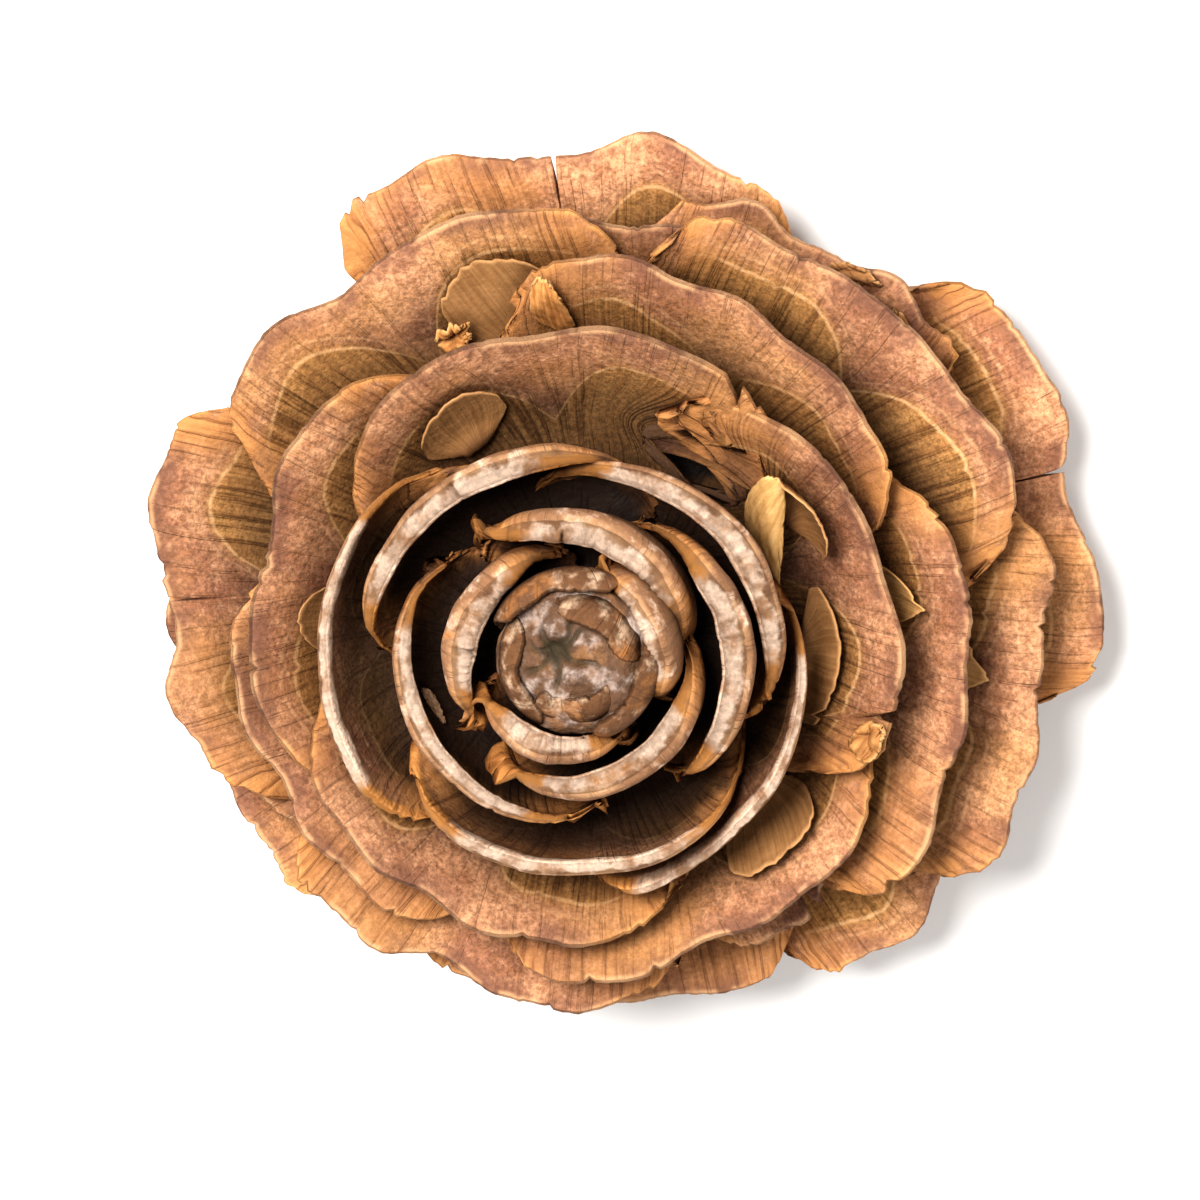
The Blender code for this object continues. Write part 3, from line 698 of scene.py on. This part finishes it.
class Nodes:
    """Short calls for building a material's node tree."""

    def __init__(self, name):
        self.material = bpy.data.materials.new(name)
        self.material.use_nodes = True
        self.tree = self.material.node_tree
        self.shader = self.tree.nodes["Principled BSDF"]
        self.place = self.node("ShaderNodeTexCoord")

    def node(self, kind, **values):
        made = self.tree.nodes.new(kind)
        for key, value in values.items():
            setattr(made, key, value)
        return made

    def join(self, source, target):
        """Sets a socket to a number or a colour, or links another node's output to it."""
        if isinstance(source, (int, float)):
            target.default_value = source
        elif isinstance(source, tuple):
            target.default_value = (*source, 1) if len(target.default_value) == 4 else source
        else:
            self.tree.links.new(source, target)

    def field(self, name):
        return self.node("ShaderNodeAttribute", attribute_name=name).outputs["Fac"]

    def sum(self, operation, a, b=0.0, c=None):
        made = self.node("ShaderNodeMath", operation=operation)
        self.join(a, made.inputs[0])
        self.join(b, made.inputs[1])
        if c is not None:
            self.join(c, made.inputs[2])
        return made.outputs[0]

    def step(self, value, low, high, to_low=0.0, to_high=1.0):
        made = self.node("ShaderNodeMapRange", interpolation_type="SMOOTHSTEP")
        self.join(value, made.inputs["Value"])
        for key, number in (("From Min", low), ("From Max", high), ("To Min", to_low), ("To Max", to_high)):
            made.inputs[key].default_value = number
        return made.outputs[0]

    def mix(self, factor, a, b, kind="MIX"):
        made = self.node("ShaderNodeMix", data_type="RGBA", blend_type=kind)
        self.join(factor, made.inputs[0])
        self.join(a, made.inputs[6])
        self.join(b, made.inputs[7])
        return made.outputs[2]

    def scaled(self, colour, gain):
        made = self.node("ShaderNodeVectorMath", operation="SCALE")
        self.join(colour, made.inputs[0])
        self.join(gain, made.inputs["Scale"])
        return made.outputs[0]

    def vector(self, x, y, z=0.0):
        made = self.node("ShaderNodeCombineXYZ")
        for value, socket in zip((x, y, z), made.inputs):
            self.join(value, socket)
        return made.outputs[0]

    def noise(self, where, scale, detail=3.0, rough=0.55):
        made = self.node("ShaderNodeTexNoise")
        self.tree.links.new(where, made.inputs["Vector"])
        made.inputs["Scale"].default_value = scale
        made.inputs["Detail"].default_value = detail
        made.inputs["Roughness"].default_value = rough
        return made.outputs["Fac"]

    def space(self, scale, detail=3.0, rough=0.55):
        """Noise through the object's own space, scale in features per millimetre."""
        return self.noise(self.place.outputs["Object"], scale * 1000, detail, rough)

    def shaded(self, colour, lit):
        """The colour with painted shade: darker and warmer where other surfaces are close by."""
        cavity = self.node("ShaderNodeAmbientOcclusion", samples=SHADE_SAMPLES)
        cavity.inputs["Distance"].default_value = SHADE_DISTANCE
        shade = self.mix(self.step(cavity.outputs["AO"], 0.12, 0.88), SHADE_COLOUR, lit)
        return self.mix(1.0, colour, shade, "MULTIPLY")

    def finish(self, colour, roughness, heights):
        """heights is a list of reliefs, each a height and its distance in millimetres, added up."""
        self.join(colour, self.shader.inputs["Base Color"])
        self.shader.inputs["Specular IOR Level"].default_value = DULL_SHINE
        self.join(roughness, self.shader.inputs["Roughness"])
        relief = 0.0
        for height, distance in heights:
            relief = self.sum("MULTIPLY_ADD", height, distance, relief)
        if heights:
            bump = self.node("ShaderNodeBump")
            bump.inputs["Distance"].default_value = MM
            bump.inputs["Strength"].default_value = 1.0
            self.join(relief, bump.inputs["Height"])
            self.tree.links.new(bump.outputs[0], self.shader.inputs["Normal"])
        return self.material


def veins(n, closeness, shortness):
    """Noise drawn out along the veins of a scale, which bend a little."""
    bend = n.sum("MULTIPLY", n.space(0.12, 2.0), 1.4)
    beside = n.sum("MULTIPLY_ADD", n.field("vein"), closeness, bend)
    where = n.vector(beside, n.sum("MULTIPLY", n.field("run"), shortness), n.field("number"))
    return n.noise(where, 1.0, 3.0, 0.6)


def finish_wood(n, colour, fine, thread, grain):
    """The painted shade, roughness and relief that all scales share."""
    heights = [(fine, 0.10), (n.sum("SUBTRACT", 1.0, thread), 0.10)]
    heights += [(n.space(2.2, 4.0, 0.65), 0.14), (n.space(0.6, 3.0), 0.30)]
    return n.finish(n.shaded(colour, WOOD_LIT), n.step(grain, 0.3, 0.7, 0.62, 0.82), heights)


def scale_material(name, resinous):
    """Dry cone wood: fine veins inside the seed prints, dusty rim band, torn orange margins.

    Where it is resinous, as in the cup, pale resin covers the lip.
    """
    n = Nodes(name)
    inside, rim, torn = n.field("inside"), n.field("rim"), n.field("torn")
    lip, face, tone = n.field("lip"), n.field("face"), n.field("tone")
    depth, deep_shade = n.field("depth"), n.field("deep_shade")
    coarse, fine = veins(n, 1.1, 0.05), veins(n, 2.9, 0.09)
    thread = n.step(fine, 0.45, 0.32)
    hair = n.step(fine, 0.36, 0.64)
    blotch = n.space(0.17, 4.0, 0.62)
    patch = n.space(0.075, 2.0, 0.5)
    grain = n.space(1.3, 4.0, 0.65)
    dust = n.space(3.0, 3.0, 0.75)

    lines = n.mix(hair, HAIR_DARK, HAIR_PALE)
    lines = n.mix(n.step(coarse, 0.42, 0.66, 0.0, 0.5), lines, VEIN_BROWN)
    dark_threads = n.sum("MULTIPLY", thread, n.step(grain, 0.34, 0.58, 0.10, 0.50))
    lines = n.mix(dark_threads, lines, THREAD_BROWN)
    plain = n.mix(n.step(grain, 0.30, 0.70), PLAIN_DARK, PLAIN_PALE)
    in_print = n.mix(n.step(inside, 12.0, 4.0, 0.35, 1.0), plain, lines)
    band = n.mix(n.step(blotch, 0.36, 0.62), BAND_PINK, BAND_DARK)
    band = n.mix(n.step(grain, 0.56, 0.36, 0.0, 0.60), band, BAND_GRAIN)
    band = n.mix(n.step(grain, 0.54, 0.70, 0.0, 0.50), band, BAND_PALE)
    band = n.mix(n.step(hair, 0.0, 1.0, 0.22, 0.0), band, BAND_HAIR)
    gold = n.step(n.space(0.06, 2.0, 0.5), 0.52, 0.66, 0.0, 0.34)
    band = n.mix(gold, band, BAND_GOLD)
    in_print = n.mix(n.sum("MULTIPLY", gold, 0.6), in_print, PRINT_GOLD)
    upper = n.mix(n.step(inside, -0.9, 0.3), band, in_print)
    upper = n.scaled(upper, n.step(dust, 0.34, 0.66, 0.66, 1.34))
    line = n.sum("SUBTRACT", 1.0, n.step(n.sum("ABSOLUTE", inside), 0.04, 0.26))
    faint = n.sum("SUBTRACT", 1.0, n.step(n.sum("ABSOLUTE", n.sum("ADD", inside, 1.15)), 0.02, 0.24))
    line = n.sum("MAXIMUM", line, n.sum("MULTIPLY", faint, 0.30))
    line = n.sum("MULTIPLY", line, n.step(grain, 0.32, 0.58, 0.22, 0.90))
    upper = n.mix(line, upper, PRINT_LINE)

    back = n.mix(n.step(fine, 0.40, 0.66), BARK_BROWN, BACK_TAN)
    back = n.mix(n.sum("SUBTRACT", 1.0, n.step(rim, 2.5, 7.0)), back, BACK_EDGE)
    back = n.mix(n.sum("MULTIPLY", n.step(dust, 0.52, 0.66), 0.4), back, BACK_DUST)
    colour = n.mix(face, back, upper)

    glow = n.sum("MULTIPLY", n.step(patch, 0.50, 0.66), n.step(face, 0.0, 1.0, 0.2, 0.50))
    colour = n.mix(glow, colour, n.mix(hair, GLOW_DARK, GLOW_PALE))
    weather = n.sum("MULTIPLY", n.step(rim, 1.7, 0.1), n.step(blotch, 0.36, 0.62, 0.05, 0.75))
    fresh = n.sum("MAXIMUM", n.sum("MULTIPLY", torn, 0.9), lip)
    weather = n.sum("MULTIPLY", weather, n.sum("SUBTRACT", 1.0, fresh))
    colour = n.mix(weather, colour, WEATHERED)
    # Pale line along the edges: painted highlight where the edge catches the light, and orange torn fibre
    # where the margin is torn.
    edge_spot = n.step(n.space(0.30, 3.0), 0.42, 0.58)
    edge_highlight = n.sum("MULTIPLY", n.step(rim, 0.34, 0.04), edge_spot)
    fibre_and_highlight = n.mix(torn, EDGE_HIGHLIGHT, TORN_FIBRE)
    colour = n.mix(n.sum("MULTIPLY", edge_highlight, 0.70), colour, fibre_and_highlight)
    # Painted shade: each scale darker the further in from its rim, with a little painted highlight along the
    # rim itself.
    colour = n.scaled(colour, n.sum("MULTIPLY", tone, n.step(depth, 1.0, 8.5, 1.12, 0.36)))
    # Painted shade: the cup's scales go near black far in from the rim, down between them.
    colour = n.mix(n.sum("MULTIPLY", deep_shade, 0.95), colour, SHADE_BLACK)

    papery = n.mix(n.step(fine, 0.32, 0.64), PAPER_DARK, PAPER_BRIGHT)
    faint_threads = n.sum("MULTIPLY", thread, n.step(face, 0.2, 1.0, 0.08, 0.35))
    papery = n.mix(faint_threads, papery, PAPER_THREAD)
    tatter = n.sum("MULTIPLY", torn, n.step(n.space(0.33, 3.0), 0.34, 0.56, 0.15, 1.0))
    tatter = n.sum("MULTIPLY", tatter, n.step(depth, 7.0, 2.5))
    colour = n.mix(tatter, colour, papery)

    cloudy = n.space(0.42, 3.0, 0.6)
    if resinous:
        resin = n.mix(n.step(cloudy, 0.32, 0.56), RESIN_BROWN, RESIN_WHITE)
        resin = n.mix(n.step(n.space(0.9, 3.0, 0.6), 0.50, 0.66, 0.0, 0.50), resin, RESIN_GREY)
        resin = n.scaled(resin, n.step(dust, 0.34, 0.66, 0.85, 1.12))
        amber = n.mix(hair, AMBER_DARK, AMBER_BRIGHT)
        ends = n.step(n.sum("MULTIPLY_ADD", n.space(0.20, 3.0), 1.5, torn), 0.86, 1.12)
        resin = n.mix(ends, resin, amber)
        crest = n.sum("MULTIPLY_ADD", n.sum("SUBTRACT", n.space(0.55, 3.0, 0.6), 0.5), 1.3, face)
        on_crest = n.step(n.sum("MULTIPLY_ADD", cloudy, 0.5, lip), 0.30, 0.60)
        crest = n.sum("MULTIPLY", n.step(crest, 0.02, 0.34), on_crest)
        on_lip = n.sum("MINIMUM", n.sum("MULTIPLY", lip, 9.0), 1.0)
        colour = n.mix(n.sum("MULTIPLY", on_lip, crest), colour, resin)

    # Painted shadow: upper faces near the hollow behind scale 12's torn end are blackened, with a cloudy
    # border.
    split = n.node("ShaderNodeSeparateXYZ")
    n.tree.links.new(n.place.outputs["Object"], split.inputs[0])
    off = [n.sum("MULTIPLY_ADD", split.outputs[k], 1000.0, -HOLLOW_SHADOW_PLACE[k]) for k in range(3)]
    squares = [n.sum("MULTIPLY", off[k], off[k]) for k in range(2)]
    away = n.sum("SQRT", n.sum("ADD", *squares))
    away = n.sum("MULTIPLY_ADD", n.sum("SUBTRACT", cloudy, 0.5), 2.0, away)
    hollow_shadow = n.sum("MULTIPLY", n.step(away, HOLLOW_SHADOW_RADIUS, HOLLOW_SHADOW_RADIUS * 0.6), n.step(off[2], 2.6, 1.6))
    upper_side = n.sum("MULTIPLY", n.step(off[2], -3.0, -2.0), n.step(face, 0.5, 0.9))
    colour = n.mix(n.sum("MULTIPLY", hollow_shadow, upper_side), colour, HOLLOW_SHADOW_BLACK)
    return finish_wood(n, colour, fine, thread, grain)


def bud_wood(n, limits, dark, pale, amber):
    """The bud's mottled colour: dark wood, pale resin between the limits, amber and dark spots."""
    colour = n.mix(n.step(n.space(0.50, 3.0, 0.6), *limits), dark, pale)
    colour = n.mix(n.step(n.space(0.30, 3.0), 0.50, 0.64, 0.0, 0.75), colour, amber)
    return n.mix(n.step(n.space(1.3, 4.0, 0.7), 0.54, 0.38, 0.0, 0.65), colour, BARK_DARK)


def tip_material():
    """The tiny scales over the bud: its mottled colour, with painted shade that darkens them away from the
    rim.
    """
    n = Nodes("tip_scale_wood")
    fine, grain = veins(n, 2.9, 0.09), n.space(1.3, 4.0, 0.65)
    bud = bud_wood(n, (0.47, 0.66), *TIP_BUD)
    colour = n.scaled(bud, n.step(n.field("depth"), 3.0, 0.8, 0.30, 0.95))
    return finish_wood(n, colour, fine, n.step(fine, 0.45, 0.32), grain)


def spindle_material():
    """Brown fibrous wood below, and the bud's resin-mottled dome on top."""
    n = Nodes("spindle_wood")
    split = n.node("ShaderNodeSeparateXYZ")
    n.tree.links.new(n.place.outputs["Object"], split.inputs[0])
    height = n.sum("MULTIPLY", split.outputs[2], 1000.0)
    wood = n.mix(n.step(n.space(0.9, 4.0), 0.35, 0.65), SPINDLE_DARK, SPINDLE_PALE)
    end = n.mix(n.step(n.space(2.2, 4.0), 0.35, 0.65), BROKEN_DARK, BROKEN_PALE)
    wood = n.mix(n.step(height, 0.4, 1.6), end, wood)
    resin = bud_wood(n, (0.46, 0.66), *DOME_BUD)
    # Painted shade: the pit and the furrows from it are darkened.
    resin = n.mix(n.field("pit"), resin, PIT_SHADE)
    colour = n.mix(n.step(height, 29.0, 31.0), wood, resin)
    return n.finish(colour, 0.7, [(n.space(1.4, 4.0, 0.65), 0.25), (n.space(0.5, 2.0), 0.3)])


def paper_material():
    """Papery wings and torn bits: tan to cream by piece, finely veined, the seed itself darker."""
    n = Nodes("seed_wing_paper")
    vein, run, rim, seed = n.field("vein"), n.field("run"), n.field("rim"), n.field("seed")
    pale, ragged = n.field("pale"), n.field("ragged")
    lines = n.noise(n.vector(n.sum("MULTIPLY", vein, 2.2), n.sum("MULTIPLY", run, 0.14), pale), 1.0, 4.0, 0.6)
    tan = n.mix(n.step(lines, 0.26, 0.76), TAN_DARK, TAN_PALE)
    cream = n.mix(n.step(lines, 0.36, 0.66), CREAM_DARK, CREAM_PALE)
    torn = n.mix(n.step(lines, 0.34, 0.64), ORANGE_DARK, ORANGE_PALE)
    colour = n.mix(n.sum("MAXIMUM", pale, 0.0), tan, n.mix(ragged, cream, torn))
    colour = n.mix(n.step(pale, -0.2, -0.8), colour, GREY_BIT)
    spots = n.step(n.space(0.30, 3.0), 0.42, 0.64, 0.0, 0.45)
    spots = n.sum("MULTIPLY", spots, n.step(pale, 0.3, 0.9, 1.0, 0.3))
    colour = n.mix(spots, colour, SPOT_BROWN)
    edge = n.sum("MULTIPLY", n.step(rim, 0.46, 0.06), n.step(n.space(0.6, 3.0), 0.34, 0.54, 0.2, 0.9))
    colour = n.mix(edge, colour, n.mix(pale, TAN_EDGE, CREAM_EDGE))
    colour = n.mix(n.sum("MULTIPLY", seed, 0.85), colour, SEED_BROWN)
    return n.finish(n.shaded(colour, PAPER_LIT), 0.7, [(lines, 0.05), (n.space(1.5, 3.0), 0.10)])


def floor_and_light():
    mesh = bpy.data.meshes.new("floor")
    corners = [(x * FLOOR_HALF, y * FLOOR_HALF, 0) for x, y in ((-1, -1), (1, -1), (1, 1), (-1, 1))]
    mesh.from_pydata(corners, [], [(0, 1, 2, 3)])
    n = Nodes("pale_floor")
    n.finish(FLOOR_COLOUR, 0.85, [])
    mesh.materials.append(n.material)
    floor = bpy.data.objects.new("floor", mesh)
    bpy.context.scene.collection.objects.link(floor)
    world = bpy.data.worlds.new("studio")
    world.use_nodes = True
    world.node_tree.nodes["Background"].inputs[0].default_value = SKY_COLOUR
    world.node_tree.nodes["Background"].inputs[1].default_value = SKY_STRENGTH
    bpy.context.scene.world = world
    for name, place, size, power, colour in LAMPS:
        light = bpy.data.lights.new(name, "AREA")
        light.shape, light.size, light.energy, light.color = "DISK", size, power, colour
        lamp = bpy.data.objects.new(name, light)
        lamp.location = place
        lamp.rotation_euler = (Vector(place) - LAMP_AIM).to_track_quat("Z", "Y").to_euler()
        bpy.context.scene.collection.objects.link(lamp)


def camera():
    made = bpy.data.cameras.new("camera")
    made.lens, made.sensor_width = CAMERA_LENS, CAMERA_SENSOR
    made.clip_start = 0.01
    eye = bpy.data.objects.new("camera", made)
    back = (CAMERA_PLACE - CAMERA_AIM).normalized()
    right = Vector((0, 1, 0)).cross(back).normalized()
    up = back.cross(right)
    turn = Matrix((right, up, back)).transposed()
    eye.matrix_world = Matrix.Translation(CAMERA_PLACE) @ turn.to_4x4()
    bpy.context.scene.collection.objects.link(eye)
    bpy.context.scene.camera = eye


bpy.context.scene.view_settings.view_transform = "Standard"
dry_wood, resinous_wood = scale_material("cone_scale_wood", False), scale_material("cup_scale_wood", True)
for scale_number in range(len(SCALES)):
    wood = resinous_wood if between(scale_number, RESIN_COVER) > 0 else dry_wood
    grid = CUP_GRID if scale_number < CUP_SCALES else SCALE_GRID
    scale_piece(f"scale_{scale_number:02d}", blade_of(scale_number), wood, *grid)
tip_wood = tip_material()
for tip_index in range(TIP_COUNT):
    scale_piece(f"tip_{tip_index}", tip_blade(tip_index), tip_wood, *TIP_GRID)
spindle_piece(spindle_material())
paper = paper_material()
for bit_index, bit_row in enumerate(TORN_BITS):
    torn_piece(f"torn_bit_{bit_index + 1}", bit_row, paper)
for seed_index, seed_row in enumerate(WINGED_SEEDS):
    wing_piece(f"winged_seed_{seed_index + 1}", seed_row, paper)
floor_and_light()
camera()
